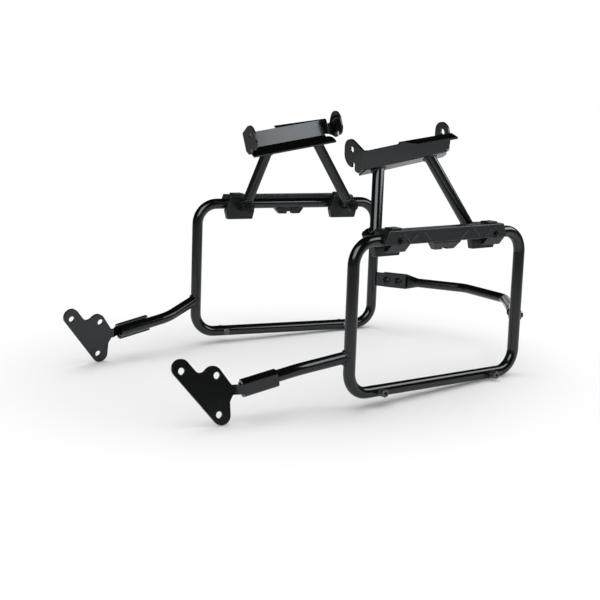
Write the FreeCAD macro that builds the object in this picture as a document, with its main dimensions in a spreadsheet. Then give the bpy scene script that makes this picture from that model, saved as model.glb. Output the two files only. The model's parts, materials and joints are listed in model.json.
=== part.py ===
import FreeCAD, Part
import math
import os

# A pair of tubular side racks for soft motorbike bags, joined by a rear cross brace.
# Frame: +X to the bike's rear, +Y to its right, +Z up, millimetres. The right half is modelled and the
# left half is its mirror image in the bike's mid-plane, y = 0. The origin is under the middle of the set.

V = FreeCAD.Vector
Placement = FreeCAD.Placement
Rotation = FreeCAD.Rotation
ALONG_X = V(1, 0, 0)
ALONG_Y = V(0, 1, 0)
ALONG_Z = V(0, 0, 1)
UNTURNED = Rotation()

# Driving dimensions in millimetres and degrees. "half_track" is a distance from the bike's mid-plane,
# "forward" a distance in front of the front upright and "height" one above the bottom tube's middle line.
DIMENSIONS = {
    # tubes and fits
    "tube_dia": 18.0,
    "tube_wall": 2.0,
    "weld_gap": 0.3,
    "fit_gap": 0.3,
    # rack loop
    "loop_length": 344.0,
    "loop_height": 224.6,
    "loop_bend": 34.0,
    "loop_toe": 7.05,
    "front_half_track": 244.4,
    # front arm
    "arm_height": 58.3,
    "arm_bend": 70.0,
    "arm_kink_forward": 69.0,
    "arm_kink_half_track": 212.3,
    "arm_kink_height": 37.5,
    "arm_end_forward": 158.8,
    "arm_end_half_track": 208.6,
    "arm_end_height": 19.2,
    # front foot plate, its holes and the cradle round the arm
    "foot_forward": 196.8,
    "foot_half_track": 205.0,
    "foot_height": 39.2,
    "foot_toe": 4.4,
    "foot_lean": 9.4,
    "foot_thick": 4.0,
    "foot_hole_dia": 10.0,
    "foot_front_hole_back": 52.9,
    "foot_front_hole_up": 9.7,
    "foot_low_hole_back": 1.2,
    "foot_low_hole_drop": 55.4,
    "foot_lobe": 13.5,
    "front_lobe_ahead": 0.6,
    "front_lobe_above": 3.8,
    "low_lobe_behind": 3.8,
    "low_lobe_below": 1.6,
    "waist_ahead": 25.5,
    "waist_up": 1.0,
    "waist_round": 10.0,
    "crown_ahead": 3.8,
    "crown_up": 21.2,
    "crown_round": 14.0,
    "neck_start": 22.0,
    "neck_round": 4.0,
    "heel_start": 23.5,
    "heel_round": 2.0,
    "heel_drop": 9.0,
    "heel_corner": 5.0,
    "neck_height": 14.4,
    "neck_drop": 22.0,
    "neck_reach": 27.0,
    "cradle_length": 56.0,
    "cradle_front": 1.5,
    "cradle_lip": 10.0,
    "cradle_thick": 3.5,
    "cradle_fold": 2.5,
    # upper bracket: "lead" is how far its front end lies ahead of the loop's middle, "drop" is below its fold
    "bracket_lead": 115.9,
    "bracket_half_track": 178.7,
    "bracket_height": 322.1,
    "bracket_toe": 2.5,
    "bracket_pitch": 9.2,
    "bracket_roll": 11.9,
    "bracket_length": 169.1,
    "bracket_thick": 3.0,
    "bracket_fold": 2.0,
    "web_height": 27.8,
    "web_step": 4.7,
    "step_back": 62.5,
    "lower_flange_width": 22.6,
    "lower_flange_turn": 41.2,
    "lower_flange_relief": 4.2,
    "lower_flange_end": 165.2,
    "lower_flange_round": 9.0,
    "top_flange_width": 23.4,
    "top_flange_end": 162.9,
    "top_flange_front_slant": 19.7,
    "top_flange_rear_slant": 4.9,
    "top_flange_fall": 1.9,
    "rear_ear_fold": 12.0,
    "ear_lobe": 17.0,
    "ear_top": 37.5,
    "ear_drop": 5.3,
    "front_ear_inboard": 30.5,
    "rear_ear_inboard": 24.2,
    "ear_hole_dia": 9.5,
    "ear_hole_rise": 22.3,
    "front_hole_inboard": 29.4,
    "rear_hole_inboard": 24.0,
    "ear_slot_width": 7.0,
    "ear_slot_top": 3.5,
    "front_slot_inboard": 24.4,
    "rear_slot_inboard": 23.0,
    "front_leg_inboard": 10.7,
    "rear_leg_inboard": 11.5,
    "front_leg_drop": 9.4,
    "rear_leg_drop": 6.6,
    "front_corner_rise": 0.0,
    "rear_corner_rise": 3.5,
    "rear_shoulder": 20.0,
    "sleeve_dia": 15.0,
    "sleeve_length": 6.0,
    # rail, clamps and what bolts them to the loop
    "rail_bolt_spacing": 198.4,
    "rail_bolt_dia": 6.0,
    "rail_head_dia": 10.0,
    "rail_head_height": 4.0,
    "rail_socket": 5.0,
    "rail_length": 251.4,
    "rail_ahead": 1.6,
    "rail_end_slant": 7.5,
    "rail_face": 16.0,
    "rail_rise": 15.4,
    "rail_drop": 5.6,
    "rail_top_reach": 4.0,
    "hook_length": 58.0,
    "hook_drop": 13.5,
    "hook_inner": -1.0,
    "hook_outer": 7.0,
    "hook_slant": 9.5,
    "hook_notch": 10.0,
    "lug_drop": 18.0,
    "lug_ahead": 19.0,
    "lug_behind": 18.0,
    "lug_lean": 6.0,
    "lug_inner": 2.0,
    "lug_outer": 8.0,
    "rib_height": 0.8,
    "rib_width": 1.4,
    "rib_length": 19.0,
    "rib_lean": 50.0,
    "rib_centre": 3.0,
    "rib_stagger": 1.2,
    "clamp_width": 53.6,
    "clamp_ahead": 1.2,
    "clamp_depth": 17.0,
    "clamp_drop": 25.5,
    "clamp_skirt": 8.0,
    "clamp_foot_width": 46.0,
    "clamp_widest_drop": 10.0,
    "clamp_head_width": 38.0,
    "clamp_waist": 3.5,
    "clamp_round": 4.0,
    "tongue_width": 19.6,
    "tongue_thick": 2.5,
    "tongue_reach": 10.5,
    "tongue_back": 6.5,
    "bush_dia": 20.0,
    "bush_length": 38.0,
    "nut_height": 8.0,
    "nut_flats": 10.0,
    "nut_flange_dia": 14.0,
    "nut_flange_thick": 2.0,
    "bolt_end": 3.0,
    # struts
    "strut_inboard": 38.0,
    "front_strut_back": 34.4,
    "rear_strut_back": 131.8,
    "front_strut_seat": 13.0,
    "rear_strut_seat": 11.0,
    # pegs on the bottom tube
    "peg_inset": 55.0,
    "peg_dia": 12.0,
    "peg_reach": 12.0,
    "peg_shank_dia": 7.0,
    "peg_button_dia": 11.0,
    "peg_button_thick": 2.5,
    "peg_chamfer": 1.0,
    # cross brace and its tabs
    "brace_height": 83.0,
    "brace_dia": 16.0,
    "brace_setback": 100.6,
    "brace_angle": 57.0,
    "brace_bend": 40.0,
    "brace_flat": 5.0,
    "brace_flat_height": 27.0,
    "brace_flat_start": 18.0,
    "brace_flare": 22.0,
    "tab_length": 66.0,
    "tab_height": 25.0,
    "tab_thick": 4.0,
    "tab_corner": 3.0,
    "tab_first_bolt": 29.0,
    "tab_bolt_pitch": 22.7,
    "brace_bolt_dia": 8.0,
    "brace_head_dia": 13.0,
    "brace_head_height": 4.4,
    "brace_nut_flats": 13.0,
    "brace_nut_height": 6.8,
}

# ribs on the rail's face: (distance behind the rail's middle, lean: 1 with the top to the rear, -1 to the front)
RIBS = ((-85.2, -1), (-71.3, 1), (-44.5, -1), (32.0, 1), (58.7, -1), (84.2, 1))

doc = FreeCAD.newDocument("soft_bag_carrier")
sheet = doc.addObject("Spreadsheet::Sheet", "Dims")
for row, (alias, number) in enumerate(DIMENSIONS.items(), start=1):
    sheet.set(f"A{row}", alias)
    sheet.set(f"B{row}", str(number))
    sheet.setAlias(f"B{row}", alias)
doc.recompute()


def dim(name):
    """Value of a driving dimension, read from the sheet."""
    return float(sheet.get(name))


TUBE_R = dim("tube_dia") / 2
TUBE_CLEAR = TUBE_R + dim("weld_gap")

# sketch planes of a local frame: sketch x and y go along these two axes of the frame
PLANES = {
    "xy": UNTURNED,
    "xz": Rotation(ALONG_X, 90),
    "yz": Rotation(ALONG_Y, ALONG_Z, ALONG_X, "ZXY"),
}


def size(obj, name, value):
    """Sets a property from a number, or ties it to the sheet where the value is an expression."""
    if isinstance(value, str):
        obj.setExpression(name, value)
    else:
        setattr(obj, name, value)


def cylinder(name, radius, height, placement):
    """Cylinder along the placement's z."""
    obj = doc.addObject("Part::Cylinder", name)
    obj.Placement = placement
    size(obj, "Radius", radius)
    size(obj, "Height", height)
    return obj


def hexagon(name, flats, height, placement):
    """Hexagonal prism along the placement's z, sized across its flats."""
    obj = doc.addObject("Part::Prism", name)
    obj.Polygon = 6
    obj.Placement = placement
    size(obj, "Circumradius", f"{flats} / sqrt(3)")
    size(obj, "Height", height)
    return obj


def box(name, lengths, placement):
    """Box with its corner at the placement."""
    obj = doc.addObject("Part::Box", name)
    obj.Placement = placement
    for side, value in zip(("Length", "Width", "Height"), lengths):
        size(obj, side, value)
    return obj


def fuse(name, pieces):
    """One solid from pieces that meet."""
    obj = doc.addObject("Part::MultiFuse", name)
    obj.Shapes = pieces
    obj.Refine = True
    return obj


def common(name, pieces):
    """What all the pieces share."""
    obj = doc.addObject("Part::MultiCommon", name)
    obj.Shapes = pieces
    return obj


def cut(name, base, tools):
    """Base without the tools."""
    obj = doc.addObject("Part::Cut", name)
    obj.Base = base
    obj.Tool = tools[0] if len(tools) == 1 else fuse(f"{name}_tools", tools)
    return obj


def group(name, pieces):
    """Separate like solids in one node."""
    obj = doc.addObject("Part::Compound", name)
    obj.Links = pieces
    return obj


def mirrored(name, source):
    """Mirror image in the bike's mid-plane."""
    obj = doc.addObject("Part::Mirroring", name)
    obj.Source = source
    obj.Normal = ALONG_Y
    return obj


def facing(start, direction):
    """Placement at start whose z points along direction."""
    return Placement(start, Rotation(ALONG_Z, direction))


def local(frame, x, y, z, rotation=UNTURNED):
    """Placement at a point of a local frame."""
    return frame.multiply(Placement(V(x, y, z), rotation))


def rounded(corners):
    """Closed outline of straight runs with round corners, each given as (x, y, radius)."""
    count = len(corners)
    joints = []
    curves = []
    for i, (x, y, radius) in enumerate(corners):
        here = V(x, y, 0)
        back = (V(*corners[i - 1][:2], 0) - here).normalize()
        ahead = (V(*corners[(i + 1) % count][:2], 0) - here).normalize()
        half = back.getAngle(ahead) / 2
        reach = radius / math.tan(half)
        first = here + back * reach
        last = here + ahead * reach
        joints.append((first, last))
        if radius > 0:
            inward = (back + ahead).normalize()
            middle = here + inward * (radius / math.sin(half) - radius)
            curves.append(Part.Arc(first, middle, last))
    for i in range(count):
        start = joints[i][1]
        end = joints[(i + 1) % count][0]
        if start.distanceToPoint(end) > 1e-6:
            curves.append(Part.LineSegment(start, end))
    return curves


def folded_strip(path, thickness, inner_radius):
    """Closed outline of a folded sheet whose middle line runs through the path's points."""
    points = [V(x, y, 0) for x, y in path]
    runs = [(end - start).normalize() for start, end in zip(points, points[1:])]
    left = []
    right = []
    for i, point in enumerate(points):
        run_in = runs[max(i - 1, 0)]
        run_out = runs[min(i, len(runs) - 1)]
        normal_in = V(-run_in.y, run_in.x, 0)
        normal_out = V(-run_out.y, run_out.x, 0)
        miter = (normal_in + normal_out) * (thickness / 2 / (1 + normal_in.dot(normal_out)))
        turn = run_in.cross(run_out).z
        folded = 0 < i < len(points) - 1
        inside = inner_radius if folded else 0
        outside = inner_radius + thickness if folded else 0
        left_radius, right_radius = (inside, outside) if turn > 0 else (outside, inside)
        left.append((point.x + miter.x, point.y + miter.y, left_radius))
        right.append((point.x - miter.x, point.y - miter.y, right_radius))
    return rounded(left + right[::-1])


def sketch(name, curves, placement, plane):
    """Sketch of the curves on a plane of a local frame."""
    obj = doc.addObject("Sketcher::SketchObject", name)
    obj.Placement = placement.multiply(Placement(V(), PLANES[plane]))
    obj.addGeometry(curves)
    return obj


def extrude(name, curves, placement, plane, length, backwards=0.0):
    """Solid from an outline on a plane of a local frame, drawn out along the plane's normal."""
    obj = doc.addObject("Part::Extrusion", name)
    obj.Base = sketch(f"{name}_outline", curves, placement, plane)
    obj.DirMode = "Normal"
    obj.Solid = True
    size(obj, "LengthFwd", length)
    size(obj, "LengthRev", backwards)
    return obj


def turned(name, profile, placement):
    """Solid of revolution about the placement's z from (radius, z) points."""
    obj = doc.addObject("Part::Revolution", name)
    obj.Source = sketch(f"{name}_profile", rounded([(r, z, 0) for r, z in profile]), placement, "xz")
    obj.Axis = placement.Rotation.multVec(ALONG_Z)
    obj.Base = placement.Base
    obj.Angle = 360
    obj.Solid = True
    return obj


def loft(name, sections):
    """Solid between two sketches."""
    obj = doc.addObject("Part::Loft", name)
    obj.Sections = sections
    obj.Solid = True
    obj.Ruled = True
    return obj


def rod(name, start, end, radius):
    """Straight round bar between two points."""
    return cylinder(name, radius, start.distanceToPoint(end), facing(start, end - start))


def elbow(name, first, before, after, bend_radius, radius):
    """Round bar bent from one direction to another, starting at a point."""
    axis = before.cross(after).normalize()
    outward = before.cross(axis)
    obj = doc.addObject("Part::Torus", name)
    obj.Placement = Placement(first - outward * bend_radius, Rotation(outward, before, axis, "ZXY"))
    obj.Radius1 = bend_radius
    obj.Angle3 = math.degrees(before.getAngle(after))
    size(obj, "Radius2", radius)
    return obj


def bent_bar(name, points, radius, bend_radius):
    """Round bar along straight runs between points, with a bend at each inner point."""
    pieces = []
    start = points[0]
    for i in range(1, len(points) - 1):
        before = (points[i] - points[i - 1]).normalize()
        after = (points[i + 1] - points[i]).normalize()
        reach = bend_radius * math.tan(before.getAngle(after) / 2)
        first = points[i] - before * reach
        pieces.append(rod(f"{name}_run{i}", start, first, radius))
        pieces.append(elbow(f"{name}_bend{i}", first, before, after, bend_radius, radius))
        start = points[i] + after * reach
    pieces.append(rod(f"{name}_end", start, points[-1], radius))
    return fuse(name, pieces)


def bent_tube(name, points, bend_radius):
    """Hollow rack tube along a bent path."""
    outer = bent_bar(f"{name}_outer", points, "Dims.tube_dia / 2", bend_radius)
    inner = bent_bar(f"{name}_inner", points, "Dims.tube_dia / 2 - Dims.tube_wall", bend_radius)
    return cut(f"{name}_tube", outer, [inner])


# Local frames of the right half

def foot_placement():
    """Foot plate: origin at its rear upper hole, x along the plate, y outboard through it."""
    turn = Rotation(ALONG_Z, dim("foot_toe")).multiply(Rotation(ALONG_X, dim("foot_lean")))
    return Placement(V(-dim("foot_forward"), dim("foot_half_track"), dim("foot_height")), turn)


def lobe_centres():
    """Middles of the foot plate's front and lower lobes, in the plate's frame."""
    front = V(-dim("foot_front_hole_back") - dim("front_lobe_ahead"), 0,
              dim("foot_front_hole_up") + dim("front_lobe_above"))
    lower = V(dim("foot_low_hole_back") + dim("low_lobe_behind"), 0,
              -dim("foot_low_hole_drop") - dim("low_lobe_below"))
    return front, lower


def disc_reach(axis):
    """How far a lobe of the foot plate reaches along an axis from its middle."""
    through = foot_placement().Rotation.multVec(ALONG_Y).dot(axis)
    return dim("foot_lobe") * math.sqrt(1 - through ** 2) + dim("foot_thick") / 2 * abs(through)


TOE = math.radians(dim("loop_toe"))
REAR_UPRIGHT = V(dim("loop_length") * math.cos(TOE),
                 dim("front_half_track") - dim("loop_length") * math.sin(TOE), 0)
BRACE_BACK = REAR_UPRIGHT.x + dim("brace_setback")


def origin_shift():
    """Moves the set so that its origin is under the middle of its box."""
    front, lower = lobe_centres()
    foot = foot_placement()
    foremost = foot.multVec(front).x - disc_reach(ALONG_X)
    rearmost = BRACE_BACK + dim("brace_dia") / 2
    lowest = foot.multVec(lower).z - disc_reach(ALONG_Z)
    return V(-(foremost + rearmost) / 2, 0, -lowest)


RACK = Placement(origin_shift(), UNTURNED)
# rack loop: x along it from the front upright, y outboard, z up from the bottom tube
LOOP = local(RACK, 0, dim("front_half_track"), 0, Rotation(ALONG_Z, -dim("loop_toe")))
FOOT = RACK.multiply(foot_placement())
# bracket: x along its fold, z up its web, y outboard
BRACKET_TURN = Rotation(ALONG_Z, -dim("bracket_toe")).multiply(
    Rotation(ALONG_Y, -dim("bracket_pitch"))).multiply(Rotation(ALONG_X, -dim("bracket_roll")))
BRACKET = local(RACK, REAR_UPRIGHT.x / 2 - dim("bracket_lead"), dim("bracket_half_track"),
                dim("bracket_height"), BRACKET_TURN)
# lower flange: x along the fold, y up the slope towards it, z out of its upper face
FLANGE = BRACKET.multiply(Placement(V(), Rotation(ALONG_X, dim("lower_flange_turn"))))
# brace tab: x from the rear upright towards the mid-plane and the rear, y rearward through the tab
TAB = local(RACK, REAR_UPRIGHT.x, REAR_UPRIGHT.y, dim("brace_height"), Rotation(ALONG_Z, -dim("brace_angle")))
TO_OUTBOARD = Rotation(ALONG_X, -90)
TO_INBOARD = Rotation(ALONG_X, 90)


def arm_points():
    """Middle line of the front arm, from the upright to its open front end."""
    root = V(0, dim("front_half_track"), dim("arm_height"))
    kink = V(-dim("arm_kink_forward"), dim("arm_kink_half_track"), dim("arm_kink_height"))
    end = V(-dim("arm_end_forward"), dim("arm_end_half_track"), dim("arm_end_height"))
    return [RACK.multVec(point) for point in (root, kink, end)]


def cradle_frame():
    """Cradle: origin at the arm's front end, x back along the arm, y outboard."""
    _, kink, end = arm_points()
    back = (kink - end).normalize()
    outboard = ALONG_Z.cross(back).normalize()
    return Placement(end, Rotation(back, outboard, back.cross(outboard), "XYZ"))


CRADLE = cradle_frame()


def rail_bolt_places():
    """Places of the two rail bolts along the loop."""
    middle = dim("loop_length") / 2
    half = dim("rail_bolt_spacing") / 2
    return {"front": middle - half, "rear": middle + half}


def rack_loop():
    """Closed loop of tube, drilled across for the rail bolts and the pegs."""
    length = dim("loop_length")
    height = dim("loop_height")
    seam = V(length / 2, 0, 0)
    corners = [seam, V(length, 0, 0), V(length, 0, height), V(0, 0, height), V(0, 0, 0), seam]
    tube = bent_tube("loop", [LOOP.multVec(corner) for corner in corners], dim("loop_bend"))
    drills = []
    for end, place in rail_bolt_places().items():
        at = local(LOOP, place, -TUBE_R * 2, height, TO_OUTBOARD)
        drills.append(cylinder(f"loop_{end}_bolt_hole", "Dims.rail_bolt_dia / 2 + Dims.fit_gap",
                               "Dims.tube_dia * 2", at))
    for end, place in peg_places().items():
        at = local(LOOP, place, -TUBE_R * 2, 0, TO_OUTBOARD)
        drills.append(cylinder(f"loop_{end}_peg_hole", "Dims.peg_shank_dia / 2 + Dims.fit_gap",
                               "Dims.tube_dia * 2", at))
    return cut("rack_loop", tube, drills)


def front_arm():
    """Bent tube from the front upright to the foot plate, coped where it is welded on."""
    tube = bent_tube("arm", arm_points(), dim("arm_bend"))
    upright = cylinder("arm_cope", "Dims.tube_dia / 2 + Dims.weld_gap", "Dims.loop_height", LOOP)
    return cut("front_arm", tube, [upright])


def foot_outline():
    """Three-lobed outline of the foot plate with the root of its neck."""
    front, lower = lobe_centres()
    lobe = dim("foot_lobe")
    edge = (lower - front).normalize()
    side = V(-edge.z, 0, edge.x)
    nose_low = front - edge * lobe - side * lobe
    nose_high = front - edge * lobe + side * lobe
    right = lower.x + lobe
    run = (right - nose_low.x) / edge.x
    tip = nose_low + edge * run
    neck_top = -dim("neck_drop") + dim("neck_height") / 2
    neck_low = -dim("neck_drop") - dim("neck_height") / 2
    neck_end = dim("neck_reach")
    full = lobe * 0.995
    return rounded([
        (nose_low.x, nose_low.z, full),
        (nose_high.x, nose_high.z, full),
        (-dim("waist_ahead"), dim("waist_up"), dim("waist_round")),
        (-dim("crown_ahead"), dim("crown_up"), dim("crown_round")),
        (dim("neck_start"), neck_top, dim("neck_round")),
        (neck_end, neck_top, 0),
        (neck_end, neck_low, 0),
        (dim("heel_start"), neck_low, dim("heel_round")),
        (right, neck_low - dim("heel_drop"), dim("heel_corner")),
        (tip.x, tip.z, lobe),
    ])


def rectangle(y_low, y_high, z_low, z_high):
    """Rectangular outline."""
    return rounded([(y_low, z_low, 0), (y_high, z_low, 0), (y_high, z_high, 0), (y_low, z_high, 0)])


def front_plate():
    """Folded sheet: drilled foot plate, neck that steps outboard, cradle that holds the arm."""
    half = dim("foot_thick") / 2
    plate = extrude("foot_plate", foot_outline(), FOOT, "xz", "Dims.foot_thick / 2", "Dims.foot_thick / 2")
    spots = [V(-dim("foot_front_hole_back"), 0, dim("foot_front_hole_up")),
             V(),
             V(dim("foot_low_hole_back"), 0, -dim("foot_low_hole_drop"))]
    holes = []
    for i, spot in enumerate(spots):
        at = local(FOOT, spot.x, -dim("foot_thick"), spot.z, TO_OUTBOARD)
        holes.append(cylinder(f"foot_hole{i}", "Dims.foot_hole_dia / 2", "Dims.foot_thick * 2", at))
    wall = TUBE_CLEAR + dim("cradle_thick") / 2
    lip = wall - dim("cradle_lip")
    section = folded_strip([(lip, wall), (wall, wall), (wall, -wall), (lip, -wall)],
                           dim("cradle_thick"), dim("cradle_fold"))
    front = local(CRADLE, -dim("cradle_front"), 0, 0)
    cradle = extrude("foot_cradle", section, front, "yz", "Dims.cradle_length")
    rise = dim("neck_height") / 2
    root = local(FOOT, dim("neck_reach"), 0, -dim("neck_drop"))
    root_outline = rectangle(-half, half, -rise, rise)
    end_outline = rectangle(TUBE_CLEAR, TUBE_CLEAR + dim("cradle_thick"), -rise, rise)
    neck = loft("foot_neck", [sketch("neck_root", root_outline, root, "yz"),
                              sketch("neck_end", end_outline, front, "yz")])
    return fuse("front_plate", [cut("foot_drilled", plate, holes), neck, cradle])


def ear_outline(name, shoulder):
    """Outline of a bracket ear with the web's end beside it, seen along the bracket: (y, z).

    The ear is round above and below with straight sides. A straight edge runs from its top to the shoulder,
    where the web's top begins, and a leg hangs beside its slot.
    """
    lobe = dim("ear_lobe")
    top = dim("ear_top")
    bottom = -dim("ear_drop")
    middle = V(-dim(f"{name}_ear_inboard"), top - lobe, 0)
    inner = middle.x - lobe
    slot = -dim(f"{name}_slot_inboard")
    leg = -dim(f"{name}_leg_drop")
    corner_rise = dim(f"{name}_corner_rise")
    sheet_side = dim("bracket_thick")
    away = V(*shoulder, 0) - middle
    touch = math.atan2(away.y, away.x) + math.acos(lobe / away.Length)
    between = (touch + math.pi / 2) / 2
    corner = middle + V(math.cos(between), math.sin(between), 0) * (lobe / math.cos(math.pi / 2 - between))
    full = lobe * 0.995
    return rounded([
        (sheet_side, corner_rise, 0),
        (sheet_side, shoulder[1], 0),
        (shoulder[0], shoulder[1], 0),
        (corner.x, corner.y, full),
        (inner, top, full),
        (inner, bottom, full),
        (slot, bottom, 0),
        (slot + dim("ear_slot_width"), leg, 1.0),
        (-dim(f"{name}_leg_inboard"), leg, 1.0),
        (0, corner_rise, 0),
    ])


def ear_reach(name):
    """How far an ear's strip runs inboard before its outline is cut out."""
    return dim(f"{name}_ear_inboard") + dim("ear_lobe") + 2.0


def ear(name, path, fold, shoulder):
    """Ear folded off one end of the bracket's web, with its hole and its open slot."""
    thick = dim("bracket_thick")
    low = -max(dim("ear_drop"), dim(f"{name}_leg_drop")) - thick
    base = local(BRACKET, 0, 0, low)
    strip = extrude(f"{name}_strip", folded_strip(path, thick, fold), base, "xy", dim("ear_top") - low + thick)
    reach = max(x for x, _ in path) + thick
    shape = extrude(f"{name}_shape", ear_outline(name, shoulder), BRACKET, "yz", reach, "Dims.bracket_thick")
    hole = cylinder(f"{name}_hole", "Dims.ear_hole_dia / 2", reach + thick,
                    local(BRACKET, -thick, -dim(f"{name}_hole_inboard"), dim("ear_hole_rise"),
                          Rotation(ALONG_Y, 90)))
    half = dim("ear_slot_width") / 2
    slot_top = dim("ear_slot_top")
    slot_middle = -dim(f"{name}_slot_inboard")
    slot = extrude(f"{name}_slot", rounded([
        (slot_middle - half, low, 0),
        (slot_middle + half, low, 0),
        (slot_middle + half, slot_top, half * 0.9),
        (slot_middle - half, slot_top, half * 0.9),
    ]), BRACKET, "yz", reach, "Dims.bracket_thick")
    return cut(f"{name}_ear", common(f"{name}_blank", [strip, shape]), [hole, slot])


def upper_bracket():
    """Folded sheet: web with a step, sloping lower flange, outward top flange and two ears."""
    thick = dim("bracket_thick")
    fold = dim("bracket_fold")
    length = dim("bracket_length")
    turn = math.radians(dim("lower_flange_turn"))
    width = dim("lower_flange_width")
    web = dim("web_height")
    full_web = web + dim("web_step")
    relief = dim("lower_flange_relief")
    rear_stub = dim("rear_ear_fold") + thick
    spine_path = [(-width * math.cos(turn), -width * math.sin(turn)), (0, 0), (0, web)]
    spine = extrude("bracket_spine", folded_strip(spine_path, thick, fold), local(BRACKET, relief, 0, 0), "yz",
                    f"Dims.bracket_length - {relief} - {rear_stub}")
    top = full_web - thick / 2
    top_path = [(0, web / 2), (0, top), (dim("top_flange_width"), top)]
    top_strip = extrude("bracket_top_strip", folded_strip(top_path, thick, fold),
                        local(BRACKET, dim("step_back"), 0, 0, Rotation(ALONG_Y, dim("top_flange_fall"))), "yz",
                        "Dims.top_flange_end - Dims.step_back + 1")
    edge = dim("top_flange_width") + thick
    top_shape = extrude("bracket_top_shape", rounded([
        (dim("step_back"), -thick, 0),
        (dim("top_flange_end"), -thick, 0),
        (dim("top_flange_end"), thick, 0),
        (dim("top_flange_end") - dim("top_flange_rear_slant"), edge, 0),
        (dim("step_back") + dim("top_flange_front_slant"), edge, 0),
        (dim("step_back"), thick, 0),
    ]), BRACKET, "xy", full_web + thick)
    front = ear("front", [(0, -ear_reach("front")), (0, 0), (relief + 2.0, 0)], fold, (0, web))
    rear = ear("rear", [(length - rear_stub - 8.0, 0), (length, 0), (length, -ear_reach("rear"))],
               dim("rear_ear_fold"), (-dim("rear_ear_inboard") + dim("ear_lobe") + 1.5, dim("rear_shoulder")))
    tail_start = length - rear_stub - 1.0
    tail_end = dim("lower_flange_end")
    tail = extrude("bracket_tail", rounded([(tail_start, -width, 0), (tail_end, -width, 1.0),
                                            (tail_end, -fold - thick, dim("lower_flange_round")),
                                            (tail_start, -fold - thick, 0)]),
                   FLANGE, "xy", "Dims.bracket_thick / 2", "Dims.bracket_thick / 2")
    return fuse("upper_bracket", [spine, tail, common("bracket_top", [top_strip, top_shape]), front, rear])


def bush(end, place):
    """Sleeve that a strut is welded to, against the inner face of its clamp."""
    at = local(LOOP, place, -dim("clamp_depth"), dim("loop_height"), TO_INBOARD)
    body = cylinder(f"{end}_bush_body", "Dims.bush_dia / 2", "Dims.bush_length", at)
    bore = cylinder(f"{end}_bush_bore", "Dims.rail_bolt_dia / 2 + Dims.fit_gap", "Dims.bush_length", at)
    return cut(f"{end}_bush", body, [bore])


def strut(end, place, back):
    """Tube from a bush up to the underside of the bracket's lower flange."""
    down = -dim(f"{end}_strut_seat")
    foot = LOOP.multVec(V(place, -dim("strut_inboard"), dim("loop_height")))
    under = -dim("bracket_thick") / 2
    seat = FLANGE.multVec(V(back, down, under))
    beyond = seat + (seat - foot).normalize() * dim("tube_dia")
    outer = rod(f"{end}_strut_outer", foot, beyond, "Dims.tube_dia / 2")
    inner = rod(f"{end}_strut_inner", foot, beyond, "Dims.tube_dia / 2 - Dims.tube_wall")
    cope = cylinder(f"{end}_strut_cope", "Dims.bush_dia / 2 + Dims.weld_gap", "Dims.bush_length",
                    local(LOOP, place, -dim("clamp_depth"), dim("loop_height"), TO_INBOARD))
    span = 4 * dim("tube_dia")
    trim = box(f"{end}_strut_trim", (span, span, span),
               local(FLANGE, back - span / 2, down - span / 2, under))
    return cut(f"{end}_strut", outer, [inner, cope, trim])


def across(place, drop=0.0):
    """Frame on the top tube's middle line at a place along the loop, turned as the loop is."""
    return local(LOOP, place, 0, dim("loop_height") - drop)


def tube_clearance(name, start, length):
    """What the top tube leaves free in a piece that wraps it."""
    return cylinder(name, "Dims.tube_dia / 2 + Dims.weld_gap", length,
                    local(LOOP, start, 0, dim("loop_height"), Rotation(ALONG_Y, 90)))


def rail_ribs(middle):
    """Slanted decorative ribs on the rail's outer face."""
    ribs = []
    for i, (offset, way) in enumerate(RIBS):
        turn = Rotation(ALONG_Y, way * dim("rib_lean"))
        height = dim("rib_centre") - way * dim("rib_stagger")
        at = local(across(middle + offset), 0, dim("rail_face") - 1.0, height, turn)
        corner = local(at, -dim("rib_width") / 2, 0, -dim("rib_length") / 2)
        ribs.append(box(f"rail_rib{i}", ("Dims.rib_width", "Dims.rib_height + 1", "Dims.rib_length"), corner))
    return ribs


def rail_lug(end, place):
    """Leaning lip that hangs from the rail below a bolt and reaches under the tube."""
    deep = dim("lug_drop")
    drop = dim("rail_drop")
    ahead = dim("lug_ahead")
    behind = dim("lug_behind")
    lean = dim("lug_lean")
    inner = dim("lug_inner")
    wall = dim("rail_face") - 3.0
    section = extrude(f"{end}_lug_section", rounded([
        (inner, -deep, 1.0),
        (dim("lug_outer"), -deep, 1.5),
        (wall, -drop - 1.4, 1.5),
        (wall, 0, 0),
        (inner, 0, 0),
    ]), across(place - ahead), "yz", "Dims.lug_ahead + Dims.lug_behind + Dims.lug_lean")
    outline = extrude(f"{end}_lug_outline", rounded([
        (-ahead, -deep, 2.0),
        (behind, -deep, 2.0),
        (behind + lean, -drop, 0),
        (behind, 0, 0),
        (lean - ahead, 0, 0),
        (lean - ahead, -drop, 0),
    ]), across(place), "xz", "1", "Dims.rail_face + 1")
    return common(f"{end}_lug", [section, outline])


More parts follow.
